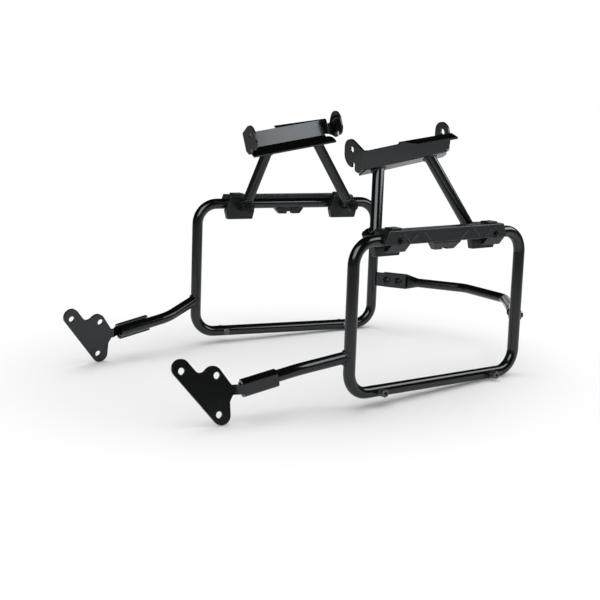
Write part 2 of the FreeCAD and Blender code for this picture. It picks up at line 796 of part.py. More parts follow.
def rail_hook(middle):
    """Notched lip that reaches under the tube in the middle of the rail."""
    half = dim("hook_length") / 2
    toe = half - dim("hook_slant")
    notch = dim("hook_notch") / 2
    drop = dim("rail_drop")
    deep = drop + dim("hook_drop")
    inner = dim("hook_inner")
    outer = dim("hook_outer")
    wall = dim("rail_face") - 3.0
    section = extrude("hook_section", rounded([
        (inner, -deep, 1.0),
        (outer, -deep, 1.5),
        (wall, -drop - 3.0, 2.0),
        (wall, 0, 0),
        (inner, 0, 0),
    ]), across(middle - half), "yz", "Dims.hook_length")
    outline = extrude("hook_outline", rounded([
        (-half, 0, 0),
        (-half, -drop - 1.0, 2.0),
        (-toe, -deep, 3.0),
        (-notch, -deep, 1.0),
        (-notch, -deep + 4.0, 1.0),
        (notch, -deep + 4.0, 1.0),
        (notch, -deep, 1.0),
        (toe, -deep, 3.0),
        (half, -drop - 1.0, 2.0),
        (half, 0, 0),
    ]), across(middle), "xz", "2", "Dims.rail_face + 1")
    return common("hook_blank", [section, outline])


def rail_shell(middle):
    """Rail without its hook: a wall outside the tube and a shelf over it, with slanted ends."""
    half = dim("rail_length") / 2
    face = dim("rail_face")
    rise = dim("rail_rise")
    drop = dim("rail_drop")
    section = extrude("rail_section", rounded([
        (face, -drop, 1.0),
        (face, rise, 2.0),
        (-dim("rail_top_reach"), rise, 1.5),
        (-dim("rail_top_reach"), 0, 0),
        (0, -drop, 0),
    ]), across(middle - half), "yz", "Dims.rail_length")
    outline = extrude("rail_outline", rounded([
        (-half, -drop, 2.0),
        (half, -drop, 2.0),
        (half - dim("rail_end_slant"), rise, 2.0),
        (-half + dim("rail_end_slant"), rise, 2.0),
    ]), across(middle), "xz", "Dims.rail_top_reach + 1", "Dims.rail_face + 1")
    return common("rail_blank", [section, outline])


def bag_rail():
    """Moulded rail over the top tube, with lips that reach under it and recesses for the bolt heads."""
    middle = dim("loop_length") / 2
    half = dim("rail_length") / 2
    ahead = dim("rail_ahead")
    face = dim("rail_face")
    tools = [tube_clearance("rail_tube", middle - half - ahead - 3, "Dims.rail_length + 6")]
    for end, place in rail_bolt_places().items():
        tools.append(cylinder(f"rail_{end}_hole", "Dims.rail_bolt_dia / 2 + Dims.fit_gap", "Dims.rail_face",
                              local(across(place), 0, 0, 0, TO_OUTBOARD)))
        tools.append(cylinder(f"rail_{end}_recess", "Dims.rail_head_dia / 2 + 1", "Dims.rail_head_height + 1",
                              local(across(place), 0, face - dim("rail_head_height"), 0, TO_OUTBOARD)))
    lugs = [rail_lug(end, place) for end, place in rail_bolt_places().items()]
    solid = fuse("rail_solid", [rail_shell(middle - ahead), rail_hook(middle)] + lugs)
    return fuse("bag_rail", [cut("rail_body", solid, tools)] + rail_ribs(middle))


def clamp(end, place):
    """Moulded block that holds the tube from behind and laps over the rail with a tongue."""
    half = dim("clamp_width") / 2
    foot = dim("clamp_foot_width") / 2
    head = dim("clamp_head_width") / 2
    tongue = dim("tongue_width") / 2
    curve = dim("clamp_round")
    depth = dim("clamp_depth")
    drop = dim("clamp_drop")
    widest = -dim("clamp_widest_drop")
    waist = dim("clamp_waist")
    rise = dim("rail_rise")
    lap = rise + dim("fit_gap")
    top = lap + dim("tongue_thick")
    back = -dim("rail_top_reach") - dim("fit_gap")
    within = -TUBE_R / 3
    centre = place - dim("clamp_ahead")
    section = extrude(f"{end}_clamp_section", rounded([
        (-depth, -drop, 1.5),
        (-dim("clamp_skirt"), -drop, 1.0),
        (-dim("clamp_skirt"), within, 0),
        (back, within, 0),
        (back, lap, 0),
        (dim("tongue_reach"), lap, 0),
        (dim("tongue_reach"), top, 1.0),
        (-dim("tongue_back"), top, 1.0),
        (-dim("tongue_back"), rise, 0),
        (-depth, rise, 2.0),
    ]), across(centre - half), "yz", "Dims.clamp_width")
    outline = extrude(f"{end}_clamp_outline", rounded([
        (-foot, -drop, 2.0),
        (foot, -drop, 2.0),
        (half, widest, curve),
        (head, waist, curve),
        (head, rise, curve),
        (tongue, rise, 0),
        (tongue, top, 1.0),
        (-tongue, top, 1.0),
        (-tongue, rise, 0),
        (-head, rise, curve),
        (-head, waist, curve),
        (-half, widest, curve),
    ]), across(centre), "xz", "Dims.clamp_depth + 1", "Dims.tongue_reach + 1")
    hole = cylinder(f"{end}_clamp_hole", "Dims.rail_bolt_dia / 2 + Dims.fit_gap", "Dims.clamp_depth + 1",
                    local(across(place), 0, 0, 0, TO_INBOARD))
    tube = tube_clearance(f"{end}_clamp_tube", centre - half - 1, "Dims.clamp_width + 2")
    return cut(f"{end}_clamp", common(f"{end}_clamp_blank", [section, outline]), [hole, tube])


def rail_bolt(end, place):
    """Long socket-head bolt along the loop's normal, head outboard."""
    shoulder = dim("rail_face") - dim("rail_head_height")
    tip = dim("clamp_depth") + dim("bush_length") + dim("nut_height") + dim("bolt_end")
    shank = dim("rail_bolt_dia") / 2
    head = dim("rail_head_dia") / 2
    crown = dim("rail_face") - 0.4
    body = turned(f"{end}_bolt_body", [(0, -tip), (shank - 0.6, -tip), (shank, -tip + 0.8), (shank, shoulder),
                                       (head, shoulder), (head, crown - 0.5), (head - 0.5, crown), (0, crown)],
                  local(across(place), 0, 0, 0, TO_OUTBOARD))
    socket = hexagon(f"{end}_bolt_socket", "Dims.rail_socket", "Dims.rail_head_height",
                     local(across(place), 0, crown - dim("rail_head_height") * 0.7, 0, TO_OUTBOARD))
    return cut(f"{end}_bolt", body, [socket])


def rail_nut(end, place):
    """Flange nut against the bush."""
    at = local(across(place), 0, -dim("clamp_depth") - dim("bush_length"), 0, TO_INBOARD)
    flange = cylinder(f"{end}_nut_flange", "Dims.nut_flange_dia / 2", "Dims.nut_flange_thick", at)
    hexes = hexagon(f"{end}_nut_hex", "Dims.nut_flats", "Dims.nut_height", at)
    bore = cylinder(f"{end}_nut_bore", "Dims.rail_bolt_dia / 2 + Dims.fit_gap", "Dims.nut_height", at)
    return cut(f"{end}_nut", fuse(f"{end}_nut_body", [flange, hexes]), [bore])


def peg_places():
    """Places of the two pegs along the bottom tube."""
    return {"front": dim("peg_inset"), "rear": dim("loop_length") - dim("peg_inset")}


def peg(end, place):
    """Turned peg through the bottom tube: collar outboard, flat button inboard."""
    shank = dim("peg_shank_dia") / 2
    collar = dim("peg_dia") / 2
    button = dim("peg_button_dia") / 2
    edge = dim("peg_chamfer")
    outer = TUBE_CLEAR + dim("peg_reach")
    inner = -TUBE_CLEAR - dim("peg_button_thick")
    profile = [(0, inner), (button - edge, inner), (button, inner + edge), (button, -TUBE_CLEAR),
               (shank, -TUBE_CLEAR), (shank, TUBE_CLEAR), (collar, TUBE_CLEAR), (collar, outer - edge),
               (collar - edge, outer), (0, outer)]
    return turned(f"{end}_peg", profile, local(LOOP, place, 0, 0, TO_OUTBOARD))


def tab_bolt_places():
    """Places of the brace bolts along the tab."""
    first = dim("tab_first_bolt")
    return [first, first + dim("tab_bolt_pitch")]


def tab_drills(name, low, length):
    """Holes for the brace bolts through a piece that starts at y = low in the tab's frame."""
    return [cylinder(f"{name}_hole{i}", "Dims.brace_bolt_dia / 2 + Dims.fit_gap", length,
                     local(TAB, place, low, 0, TO_OUTBOARD))
            for i, place in enumerate(tab_bolt_places())]


def brace_tab():
    """Plate welded to the rear upright that the brace is bolted to."""
    rise = dim("tab_height") / 2
    corner = dim("tab_corner")
    plate = extrude("tab_plate", rounded([(0, -rise, 0), (dim("tab_length"), -rise, corner),
                                          (dim("tab_length"), rise, corner), (0, rise, 0)]),
                    TAB, "xz", "Dims.tab_thick / 2", "Dims.tab_thick / 2")
    upright = cylinder("tab_cope", "Dims.tube_dia / 2 + Dims.weld_gap", "Dims.tab_height * 2",
                       local(TAB, 0, 0, -2 * rise))
    return cut("brace_tab", plate, [upright] + tab_drills("tab", -dim("tab_thick"), "Dims.tab_thick * 2"))


def flat_section(width, height):
    """Flattened tube section of two straight sides and two round edges, as (y, z) curves."""
    half = width / 2
    straight = height / 2 - half
    return [
        Part.LineSegment(V(half, -straight, 0), V(half, straight, 0)),
        Part.Arc(V(half, straight, 0), V(0, straight + half, 0), V(-half, straight, 0)),
        Part.LineSegment(V(-half, straight, 0), V(-half, -straight, 0)),
        Part.Arc(V(-half, -straight, 0), V(0, -straight - half, 0), V(half, -straight, 0)),
    ]


def round_section(radius):
    """Round tube section cut into four arcs that face those of a flattened one."""
    def on(angle):
        return V(radius * math.cos(math.radians(angle)), radius * math.sin(math.radians(angle)), 0)
    return [Part.Arc(on(-45), on(0), on(45)), Part.Arc(on(45), on(90), on(135)),
            Part.Arc(on(135), on(180), on(225)), Part.Arc(on(225), on(270), on(315))]


def brace_half():
    """Right half of the brace: flattened drilled end, flare, angled run, bend and half the middle run."""
    flat = dim("brace_flat")
    axis = dim("tab_thick") / 2 + flat / 2
    flare_start = dim("tab_length")
    flare_end = flare_start + dim("brace_flare")
    rise = dim("brace_flat_height") / 2
    start = dim("brace_flat_start")
    plate = extrude("brace_end_plate", rounded([(start, -rise, 6.0), (flare_start, -rise, 0),
                                                (flare_start, rise, 0), (start, rise, 6.0)]),
                    local(TAB, 0, axis, 0), "xz", "Dims.brace_flat / 2", "Dims.brace_flat / 2")
    drilled = cut("brace_end_drilled", plate, tab_drills("brace", 0, "Dims.tab_thick + Dims.brace_flat"))
    flat_end = sketch("brace_flat_end", flat_section(flat, 2 * rise), local(TAB, flare_start, axis, 0), "yz")
    round_end = sketch("brace_round_end", round_section(dim("brace_dia") / 2), local(TAB, flare_end, axis, 0), "yz")
    flare = loft("brace_flare_piece", [flat_end, round_end])
    angle = math.radians(dim("brace_angle"))
    run = (dim("brace_setback") - axis * math.sin(angle)) / math.cos(angle)
    corner = TAB.multVec(V(run, axis, 0))
    middle = V(corner.x, 0, corner.z)
    tube = bent_bar("brace_bar", [TAB.multVec(V(flare_end, axis, 0)), corner, middle], "Dims.brace_dia / 2",
                    dim("brace_bend"))
    return fuse("brace_half", [drilled, flare, tube])


def cross_brace():
    """Tube between the two rear uprights, alike on both sides."""
    half = brace_half()
    return fuse("cross_brace", [half, mirrored("brace_other_half", half)])


def brace_bolt(i, place):
    """Button-head bolt through the tab and the brace's flattened end, head towards the front."""
    shank = dim("brace_bolt_dia") / 2
    head = dim("brace_head_dia") / 2
    under = -dim("tab_thick") / 2
    crown = under - dim("brace_head_height")
    tip = dim("tab_thick") / 2 + dim("brace_flat") + dim("brace_nut_height") + dim("bolt_end")
    body = turned(f"brace_bolt_body{i}", [(0, crown), (head * 0.55, crown), (head, under - 1.0), (head, under),
                                          (shank, under), (shank, tip - 0.8), (shank - 0.8, tip), (0, tip)],
                  local(TAB, place, 0, 0, TO_OUTBOARD))
    socket = hexagon(f"brace_bolt_socket{i}", "Dims.rail_socket", "Dims.brace_head_height * 0.6",
                     local(TAB, place, crown, 0, TO_OUTBOARD))
    return cut(f"brace_bolt{i}", body, [socket])


def brace_nut(i, place):
    """Plain nut behind the brace's flattened end."""
    at = local(TAB, place, dim("tab_thick") / 2 + dim("brace_flat"), 0, TO_OUTBOARD)
    hexes = hexagon(f"brace_nut_hex{i}", "Dims.brace_nut_flats", "Dims.brace_nut_height", at)
    bore = cylinder(f"brace_nut_bore{i}", "Dims.brace_bolt_dia / 2 + Dims.fit_gap", "Dims.brace_nut_height", at)
    return cut(f"brace_nut{i}", hexes, [bore])


def ear_sleeve():
    """Short sleeve on the inner face of the right rear ear, round its hole."""
    at = local(BRACKET, dim("bracket_length") - dim("bracket_thick") / 2, -dim("rear_hole_inboard"),
               dim("ear_hole_rise"), Rotation(ALONG_Y, -90))
    body = cylinder("sleeve_body", "Dims.sleeve_dia / 2", "Dims.sleeve_length", at)
    bore = cylinder("sleeve_bore", "Dims.ear_hole_dia / 2", "Dims.sleeve_length", at)
    return cut("ear_sleeve", body, [bore])


def right_half():
    """Every piece of the right rack, by its name without the side."""
    places = rail_bolt_places()
    backs = {"front": dim("front_strut_back"), "rear": dim("rear_strut_back")}
    pieces = {"rack_loop": rack_loop(), "front_arm": front_arm(), "front_plate": front_plate(),
              "upper_bracket": upper_bracket(), "bag_rail": bag_rail(), "brace_tab": brace_tab()}
    for end, place in places.items():
        pieces[f"{end}_strut"] = strut(end, place, backs[end])
        pieces[f"{end}_bush"] = bush(end, place)
        pieces[f"{end}_clamp"] = clamp(end, place)
    pieces["rail_bolts"] = group("rail_bolts", [rail_bolt(end, place) for end, place in places.items()])
    pieces["rail_nuts"] = group("rail_nuts", [rail_nut(end, place) for end, place in places.items()])
    pieces["lower_pegs"] = group("lower_pegs", [peg(end, place) for end, place in peg_places().items()])
    return pieces


def both_sides(name, pieces):
    """Like solids on both sides in one node."""
    return group(name, pieces + [mirrored(f"{piece.Name}_left", piece) for piece in pieces])


def whole_set():
    """Every node of the set with its name."""
    nodes = {}
    for name, piece in right_half().items():
        nodes[f"{name}_right"] = piece
        nodes[f"{name}_left"] = mirrored(f"{name}_left", piece)
    places = tab_bolt_places()
    nodes["cross_brace"] = cross_brace()
    nodes["brace_bolts"] = both_sides("brace_bolts", [brace_bolt(i, place) for i, place in enumerate(places)])
    nodes["brace_nuts"] = both_sides("brace_nuts", [brace_nut(i, place) for i, place in enumerate(places)])
    nodes["ear_sleeve_right"] = ear_sleeve()
    return nodes


def check(nodes):
    """Stops if an object failed or a node's shape is empty or broken."""
    for obj in doc.Objects:
        if "Invalid" in obj.State or "Error" in obj.State:
            raise RuntimeError(f"{obj.Name} failed: {obj.State}")
    for label, node in nodes.items():
        if node.Shape.isNull() or not node.Shape.isValid() or not node.Shape.Solids:
            raise RuntimeError(f"{label} has no valid solid")


nodes = whole_set()
for label, node in nodes.items():
    node.Label = label
doc.recompute()
check(nodes)
os.makedirs("parts", exist_ok=True)
for label, node in nodes.items():
    node.Shape.exportStep(f"parts/{label}.step")
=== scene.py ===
import json
import math

import bmesh
import bpy
from mathutils import Matrix, Quaternion, Vector
from mathutils.bvhtree import BVHTree


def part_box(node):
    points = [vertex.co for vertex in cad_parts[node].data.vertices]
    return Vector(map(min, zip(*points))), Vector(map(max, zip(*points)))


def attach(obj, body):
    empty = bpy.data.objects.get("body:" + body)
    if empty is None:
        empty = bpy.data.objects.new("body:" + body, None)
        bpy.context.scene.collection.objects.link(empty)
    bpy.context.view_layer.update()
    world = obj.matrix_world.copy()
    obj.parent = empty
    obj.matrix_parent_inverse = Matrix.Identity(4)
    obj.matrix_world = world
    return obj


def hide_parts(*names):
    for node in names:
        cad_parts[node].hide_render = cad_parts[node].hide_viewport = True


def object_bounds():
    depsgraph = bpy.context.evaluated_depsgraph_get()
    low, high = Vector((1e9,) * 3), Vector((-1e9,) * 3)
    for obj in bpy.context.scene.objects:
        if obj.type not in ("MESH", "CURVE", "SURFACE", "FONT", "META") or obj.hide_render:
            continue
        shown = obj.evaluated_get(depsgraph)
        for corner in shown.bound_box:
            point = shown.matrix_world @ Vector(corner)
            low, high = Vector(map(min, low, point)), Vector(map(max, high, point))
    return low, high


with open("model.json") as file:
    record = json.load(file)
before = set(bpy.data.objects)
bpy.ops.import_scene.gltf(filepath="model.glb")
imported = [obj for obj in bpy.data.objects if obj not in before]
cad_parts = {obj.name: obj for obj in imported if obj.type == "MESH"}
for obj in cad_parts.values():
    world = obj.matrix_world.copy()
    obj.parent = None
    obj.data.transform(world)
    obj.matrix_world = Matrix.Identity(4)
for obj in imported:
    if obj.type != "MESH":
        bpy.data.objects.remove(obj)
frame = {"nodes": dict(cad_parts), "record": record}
cad_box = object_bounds()
nodes = frame["nodes"]

# Where the loops' own zero lies in this frame: the front upright's axis and the bottom tube's middle line.
TUBE_R = 0.009
LOOP_BEND = 0.034
loop_low, loop_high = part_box("rack_loop_left")
ZERO = Vector((loop_low.x + TUBE_R, 0, loop_low.z + TUBE_R))

# The photograph's camera, measured from the loops' zero.
CAMERA_PLACE = Vector((-1.0980, -1.8843, 0.4943))
CAMERA_RIGHT = Vector((0.854462, -0.518302, 0.035465))
CAMERA_UP = Vector((0.062270, 0.169952, 0.983483))
CAMERA_BACK = Vector((-0.515768, -0.838141, 0.177492))
CAMERA_LENS = 83.61
CAMERA_SHIFT = (0.0008, -0.0003)
CAMERA_NEAREST = 0.1
CAMERA_FARTHEST = 60.0
SENSOR = 36.0

# Colours of the finishes, the floor and the room, and the strength at which the room is white.
COAT_BLACK = (0.0025, 0.0026, 0.0027)
PLASTIC_BLACK = (0.0050, 0.0051, 0.0053)
# Lighter colour on the plastic's edges: a painted highlight, standing for edges that catch the light.
PLASTIC_EDGE_HIGHLIGHT = (0.060, 0.061, 0.063)
FASTENER_GREY = (0.024, 0.0245, 0.025)
PEG_GREY = (0.120, 0.121, 0.123)
FLOOR_WHITE = (0.94, 0.94, 0.94)
# Grey that the floor's paint turns to far off: a painted shade, which dims the far floor that the tubes
# mirror.
FLOOR_PAINTED_SHADE = (0.40, 0.40, 0.40)
ROOM_WHITE = (1, 1, 1, 1)
FULL_WHITE = 1.0

# Noise of the finishes: scale per metre, detail and roughness.
COAT_PEEL = (900.0, 2.0, 0.55)
COAT_CLOUD = (22.0, 4.0, 0.55)
PLASTIC_GRAIN = (2600.0, 3.0, 0.7)
PLASTIC_CLOUD = (35.0, 4.0, 0.55)
STEEL_SCRATCH = (1500.0, 2.0, 0.55)
STEEL_CLOUD = (120.0, 3.0, 0.55)
FLOOR_CLOUD = (1.5, 3.0, 0.55)

# The middle range of a noise, which is spread over the shades and the roughness of a finish.
NOISE_LOW = 0.3
NOISE_HIGH = 0.7

# Darkest and lightest shade of a finish, as shares of its colour.
COAT_SHADES = (0.8, 1.25)
PLASTIC_SHADES = (0.85, 1.2)
STEEL_SHADES = (0.7, 1.3)
FLOOR_SHADES = (0.995, 1.0)

# Least and greatest roughness of a finish, and the floor's even one.
COAT_ROUGHNESS = (0.15, 0.19)
PLASTIC_ROUGHNESS = (0.36, 0.46)
STEEL_ROUGHNESS = (0.26, 0.38)
FLOOR_ROUGHNESS = 0.9

# Relief of a finish: strength, and depth in metres.
COAT_RELIEF = (0.04, 0.00008)
PLASTIC_RELIEF = (0.25, 0.00006)
STEEL_RELIEF = (0.15, 0.00005)

# Level of the black finishes' gloss and its slightly cool tint, the floor's gloss, and how much of the steel
# is metal.
GLOSS_LEVEL = 0.56
COOL_GLOSS = (0.90, 0.96, 1.00)
FLOOR_GLOSS = 0.1
STEEL_METAL = 0.85

# How far the shading rounds sharp edges and from how many samples, and the cosines at which an edge gets the
# full painted highlight or none of it.
COAT_EDGE_R = 0.0004
PLASTIC_EDGE_R = 0.0012
STEEL_EDGE_R = 0.0005
EDGE_SAMPLES = 6
EDGE_FULL = 0.85
EDGE_NONE = 0.99

# Weld beads: radius, roundness, step along the seam, steps in one ripple and how strong the ripple is.
BEAD_R = 0.0021
BEAD_ROUNDNESS = 2
BEAD_STEP = 0.0007
BEAD_RIPPLE_STEPS = 4
BEAD_RIPPLE = 0.14

# Seams: how sharp their edges are in radians, how near they lie to what carries the tube, and the number of
# points that a ring has to exceed. Corners nearer than the last value are one corner.
SEAM_SHARP = 0.5
SEAM_NEAR = 0.003
SEAM_POINTS = 8
SAME_CORNER = 1e-6

# The node that carries the end of each tube.
SEAMS = {
    "front_arm": "rack_loop",
    "front_strut": "upper_bracket",
    "rear_strut": "upper_bracket",
}

# Peg turned about its axis: radius and height above the tube's middle line, from the inboard button to the
# hole in its outboard end. Then the height of its mount's middle, the number of steps round it and the angle
# of its sharp edges in radians.
PEG_PROFILE = [
    (0.0, -0.0118), (0.0045, -0.0118), (0.0055, -0.0108), (0.0055, -0.0093),
    (0.0035, -0.0093), (0.0035, 0.0093), (0.0060, 0.0093), (0.0060, 0.0200),
    (0.00585, 0.0206), (0.0055, 0.0210), (0.0049, 0.0213), (0.0036, 0.0213),
    (0.0030, 0.0211), (0.0026, 0.0207), (0.0025, 0.0202), (0.0025, 0.0165), (0.0, 0.0160),
]
PEG_MIDDLE = 0.0148
PEG_STEPS = 40
PEG_SHARP = 0.7

# Floor: its side, how far the foot plate's tip lies ahead of the plate's rear end, and where the floor's own
# middle lies beside the set's.
FLOOR_SIZE = 30.0
PLATE_TIP_AHEAD = 0.089
FLOOR_ASIDE = (-0.05, 0.03)

# Distances from the floor's middle: plain paint turns white to the camera from the first to the second, and
# to a painted shade of grey from the third to the fourth. In mirrors the floor turns white by its depth
# behind the set.
FLOOR_PLAIN_FROM = 0.28
FLOOR_WHITE_FROM = 0.56
FLOOR_PAINTED_SHADE_FROM = 0.90
FLOOR_PAINTED_SHADE_FULL = 1.45
BACKDROP_FROM = 0.36
BACKDROP_TO = 0.80

# Room in mirrors: it is white behind the set, where the camera looks, up to an elevation, and dark elsewhere.
# The first two are sines of elevations, the next two cosines of the angle off the camera's line of sight, and
# the fifth is what is left in front. The last is the room's light on everything else.
ROOM_WHITE_BELOW = 0.10
ROOM_DARK_ABOVE = 0.35
BACKDROP_EDGE = 0.86
BACKDROP_FULL = 0.97
ROOM_FRONT = 0.10
ROOM_DIM = 0.55

# Kinds of ray that see the white room.
CAMERA_RAYS = ("Is Camera Ray",)
MIRROR_RAYS = ("Is Glossy Ray", "Is Transmission Ray")

# Lamp for the floor and panels for the tubes: azimuth and elevation in degrees, distance, width and height in
# metres, and roll in degrees.
LAMP = (150, 82, 1.75, 2.4, 2.4, 0)
LAMP_POWER = 26.0
PANELS = {
    "left_panel": (-50.5, 37.5, 1.98, 1.50, 1.44, 0),
    "right_panel": (51.4, 31.5, 0.83, 0.74, 0.32, -12),
}
PANEL_RADIANCE = 4.8


def shade(tree, name, kind, **inputs):
    """New shader node with its input values set by name."""
    node = tree.nodes.new(kind)
    node.name = name
    for key, value in inputs.items():
        node.inputs[key.replace("_", " ")].default_value = value
    return node


def new_material(name):
    """Empty node material with its surface shader."""
    material = bpy.data.materials.new(name)
    material.use_nodes = True
    tree = material.node_tree
    return material, tree, tree.nodes["Principled BSDF"]


def object_place(tree):
    """Place on the object in metres, so that a finish's grain has a real size."""
    return tree.nodes.new("ShaderNodeTexCoord").outputs["Object"]


def noise(tree, name, place, grain):
    """Noise with the given scale, detail and roughness."""
    scale, detail, roughness = grain
    node = shade(tree, name, "ShaderNodeTexNoise", Scale=scale, Detail=detail, Roughness=roughness)
    tree.links.new(place, node.inputs["Vector"])
    return node.outputs["Fac"]


def ranged(tree, curve, value, first, last, start, end):
    """Goes from start to end along a curve while the value goes from first to last."""
    node = shade(tree, "range", "ShaderNodeMapRange", From_Min=first, From_Max=last, To_Min=start, To_Max=end)
    node.interpolation_type = curve
    tree.links.new(value, node.inputs["Value"])
    return node.outputs["Result"]


def spread(tree, source, limits):
    """Spreads a noise's middle range evenly between two limits."""
    return ranged(tree, "LINEAR", source, NOISE_LOW, NOISE_HIGH, *limits)


def fade(tree, value, first, last, start=0.0, end=1.0):
    """Smooth change from start to end while the value goes from first to last."""
    return ranged(tree, "SMOOTHSTEP", value, first, last, start, end)


def scaled(colour, share):
    """A colour made lighter or darker."""
    return tuple(channel * share for channel in colour)


def tint(tree, source, colour, shades):
    """Colour between its darkest and its lightest shade by a noise's value."""
    node = tree.nodes.new("ShaderNodeValToRGB")
    for element, position, share in zip(node.color_ramp.elements, (NOISE_LOW, NOISE_HIGH), shades):
        element.position = position
        element.color = (*scaled(colour, share), 1)
    tree.links.new(source, node.inputs["Fac"])
    return node.outputs["Color"]


def toward(tree, share, plain, other):
    """Colour that goes from the plain one to another by a share."""
    node = tree.nodes.new("ShaderNodeMix")
    node.data_type = "RGBA"
    tree.links.new(share, node.inputs["Factor"])
    tree.links.new(plain, node.inputs["A"])
    node.inputs["B"].default_value = (*other, 1)
    return node.outputs["Result"]


def combined(tree, operation, first, second):
    """Two values joined by one step of arithmetic, kept between 0 and 1."""
    node = tree.nodes.new("ShaderNodeMath")
    node.operation = operation
    node.use_clamp = True
    tree.links.new(first, node.inputs[0])
    tree.links.new(second, node.inputs[1])
    return node.outputs["Value"]


def product(tree, first, second):
    """Two values multiplied."""
    return combined(tree, "MULTIPLY", first, second)


def added(tree, first, second):
    """Two values added."""
    return combined(tree, "ADD", first, second)


def mixed(tree, share, first, second):
    """Two shaders mixed by a share from 0, the first, to 1, the second."""
    node = tree.nodes.new("ShaderNodeMixShader")
    tree.links.new(share, node.inputs["Fac"])
    tree.links.new(first, node.inputs[1])
    tree.links.new(second, node.inputs[2])
    return node.outputs["Shader"]


def vector_node(tree, operation, vector):
    """Node that measures a vector."""
    node = tree.nodes.new("ShaderNodeVectorMath")
    node.operation = operation
    tree.links.new(vector, node.inputs[0])
    return node


def sight_depth(tree, vector):
    """How far a place or a direction reaches along the camera's line of sight."""
    node = vector_node(tree, "DOT_PRODUCT", vector)
    node.inputs[1].default_value = -CAMERA_BACK
    return node.outputs["Value"]


def seen_rays(tree, kinds):
    """1 for the kinds of ray that are named, 0 for the rest."""
    path = tree.nodes.new("ShaderNodeLightPath")
    total = path.outputs[kinds[0]]
    for kind in kinds[1:]:
        total = added(tree, total, path.outputs[kind])
    return total


def soft_edges(tree, radius):
    """Normal that takes the sharpness off the edges, as paint or a mould does."""
    node = shade(tree, "soft_edges", "ShaderNodeBevel", Radius=radius)
    node.samples = EDGE_SAMPLES
    return node.outputs["Normal"]


def edge_highlight_share(tree, normal):
    """1 on the edges that the soft normal rounds, 0 on plain faces: where the plastic's painted highlight
    goes.
    """
    face = tree.nodes.new("ShaderNodeNewGeometry")
    along = vector_node(tree, "DOT_PRODUCT", face.outputs["Normal"])
    tree.links.new(normal, along.inputs[1])
    return fade(tree, along.outputs["Value"], EDGE_FULL, EDGE_NONE, 1.0, 0.0)


def bump(tree, shader, height, relief, normal):
    """Fine relief on top of the rounded normal."""
    strength, depth = relief
    node = shade(tree, "relief", "ShaderNodeBump", Strength=strength, Distance=depth)
    tree.links.new(height, node.inputs["Height"])
    tree.links.new(normal, node.inputs["Normal"])
    tree.links.new(node.outputs["Normal"], shader.inputs["Normal"])


def black_gloss(shader):
    """Gloss of the black finishes."""
    shader.inputs["Specular IOR Level"].default_value = GLOSS_LEVEL
    shader.inputs["Specular Tint"].default_value = (*COOL_GLOSS, 1)


def powder_coat():
    """Satin black powder coat: fine orange peel, slight cloudiness in gloss and shade."""
    material, tree, shader = new_material("powder_coat")
    place = object_place(tree)
    peel = noise(tree, "peel", place, COAT_PEEL)
    cloud = noise(tree, "cloud", place, COAT_CLOUD)
    tree.links.new(tint(tree, cloud, COAT_BLACK, COAT_SHADES), shader.inputs["Base Color"])
    tree.links.new(spread(tree, cloud, COAT_ROUGHNESS), shader.inputs["Roughness"])
    black_gloss(shader)
    bump(tree, shader, peel, COAT_RELIEF, soft_edges(tree, COAT_EDGE_R))
    return material


def moulded_plastic():
    """Matte black moulding with a fine spark-eroded grain, and lighter edges that are a painted highlight."""
    material, tree, shader = new_material("moulded_plastic")
    place = object_place(tree)
    grain = noise(tree, "grain", place, PLASTIC_GRAIN)
    cloud = noise(tree, "cloud", place, PLASTIC_CLOUD)
    plain = tint(tree, cloud, PLASTIC_BLACK, PLASTIC_SHADES)
    edges = soft_edges(tree, PLASTIC_EDGE_R)
    # The plastic's edges get a lighter colour, which is a painted highlight.
    tree.links.new(toward(tree, edge_highlight_share(tree, edges), plain, PLASTIC_EDGE_HIGHLIGHT), shader.inputs["Base Color"])
    tree.links.new(spread(tree, grain, PLASTIC_ROUGHNESS), shader.inputs["Roughness"])
    black_gloss(shader)
    bump(tree, shader, grain, PLASTIC_RELIEF, edges)
    return material


def plated_steel(name, grey):
    """Plated steel with faint scratches."""
    material, tree, shader = new_material(name)
    place = object_place(tree)
    scratch = noise(tree, "scratch", place, STEEL_SCRATCH)
    cloud = noise(tree, "cloud", place, STEEL_CLOUD)
    tree.links.new(tint(tree, cloud, grey, STEEL_SHADES), shader.inputs["Base Color"])
    tree.links.new(spread(tree, cloud, STEEL_ROUGHNESS), shader.inputs["Roughness"])
    shader.inputs["Metallic"].default_value = STEEL_METAL
    bump(tree, shader, scratch, STEEL_RELIEF, soft_edges(tree, STEEL_EDGE_R))
    return material


def white_share(tree, place, away):
    """How much of the floor is plain white: far off to the camera, and behind the set in mirrors."""
    far = fade(tree, away, FLOOR_PLAIN_FROM, FLOOR_WHITE_FROM)
    depth = sight_depth(tree, place)
    behind = fade(tree, depth, BACKDROP_FROM, BACKDROP_TO)
    cone = fade(tree, combined(tree, "DIVIDE", depth, away), BACKDROP_EDGE, BACKDROP_FULL)
    mirrors = product(tree, product(tree, behind, cone), seen_rays(tree, MIRROR_RAYS))
    return product(tree, far, added(tree, seen_rays(tree, CAMERA_RAYS), mirrors))


